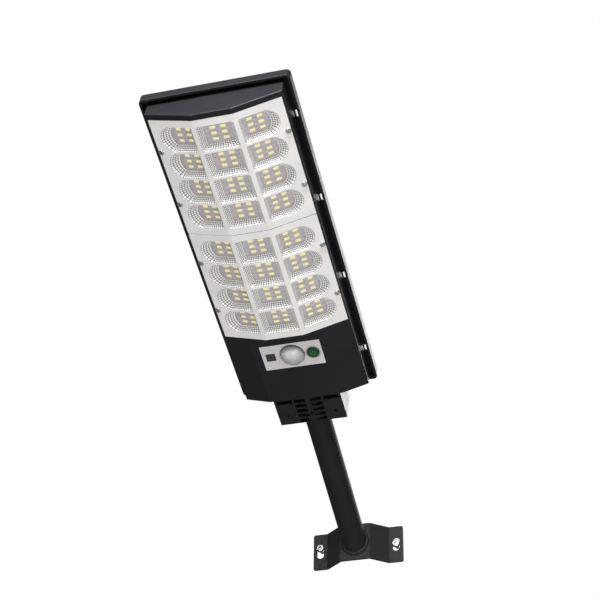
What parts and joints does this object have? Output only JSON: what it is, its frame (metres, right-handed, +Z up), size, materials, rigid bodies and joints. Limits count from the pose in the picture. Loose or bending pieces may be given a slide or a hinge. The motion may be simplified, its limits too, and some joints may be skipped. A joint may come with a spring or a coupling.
{
  "type": "solar street lamp",
  "caption": "Solar street lamp: flat head with folded clear lenses over light chips, motion sensor panel, solar panel on the sky side, clamped to a short wall arm.",
  "frame": {"origin": "middle of the wall bracket's back, on the wall", "axes": "+Z up, +Y into the wall, the lamp reaches out along -Y"},
  "size_m": [0.1334, 0.528, 0.2],
  "materials": {
    "arm_paint": "black powder coat, fine texture",
    "bright_steel": "zinc plated",
    "dark_steel": "dull plated",
    "black_steel": "blackened",
    "tray_plastic": "satin moulded",
    "housing_plastic": "satin moulded",
    "lens_plastic": "clear, prismatic cup walls",
    "seal_rubber": "soft",
    "light_board": "white solder mask on aluminium",
    "light_chip": "yellow phosphor in a white frame",
    "label_sheet": "silver printed sheet",
    "dome_plastic": "milky, faceted inside",
    "sensor_can": "plated can",
    "button_green": "soft touch",
    "window_dark": "smoked",
    "dark_plastic": "moulded",
    "circuit_board": "green solder mask",
    "component": "moulded parts",
    "battery_sleeve": "shrink sleeve",
    "brass": "turned brass",
    "panel_cover": "clear laminate",
    "solar_cell": "dark blue silicon with fine lines",
    "backsheet": "black backsheet",
    "lead_red": "insulation",
    "lead_black": "insulation"
  },
  "bodies": {
    "arm": {"wall_bracket": "arm_paint", "arm_tube": "arm_paint", "arm_weld": "arm_paint", "wall_screws": "bright_steel"},
    "head": {"battery_cells": "battery_sleeve", "battery_lead": "lead_red", "battery_strap_screws": "bright_steel", "battery_straps": "dark_plastic", "board_components": "component", "case_screws": "bright_steel", "clamp_bolts": "black_steel", "clamp_cover": "housing_plastic", "clamp_inserts": "brass", "control_board": "circuit_board", "control_board_screws": "bright_steel", "control_label": "label_sheet", "housing": "housing_plastic", "lens_gasket": "seal_rubber", "lens_inner": "lens_plastic", "lens_outer": "lens_plastic", "lens_screws": "dark_steel", "light_board_centre": "light_board", "light_board_left": "light_board", "light_board_right": "light_board", "light_board_screws": "bright_steel", "light_chips_centre": "light_chip", "light_chips_left": "light_chip", "light_chips_right": "light_chip", "light_lead": "lead_black", "motion_sensor": "sensor_can", "panel_lead": "lead_red", "panel_tray": "tray_plastic", "pole_lock_screw": "black_steel", "receiver_window": "window_dark", "remote_receiver": "dark_plastic", "sensor_dome": "dome_plastic", "solar_backsheet": "backsheet", "solar_cells": "solar_cell", "solar_cover_sheet": "panel_cover", "switch_body": "dark_plastic"},
    "button": {"power_button": "button_green", "switch_plunger": "dark_plastic"}
  },
  "joints": [
    {"name": "head_swivel", "type": "hinge", "parent": "arm", "child": "head", "pos_m": [0, -0.1754, 0.06267], "axis": [0, -0.9304, 0.3665], "continuous": true},
    {"name": "button_press", "type": "slide", "parent": "head", "child": "button", "axis": [0, 0.2847, 0.9586], "range_m": [0, 0.0008], "stiffness_N_per_m": 1000, "springref_m": -0.0006}
  ]
}
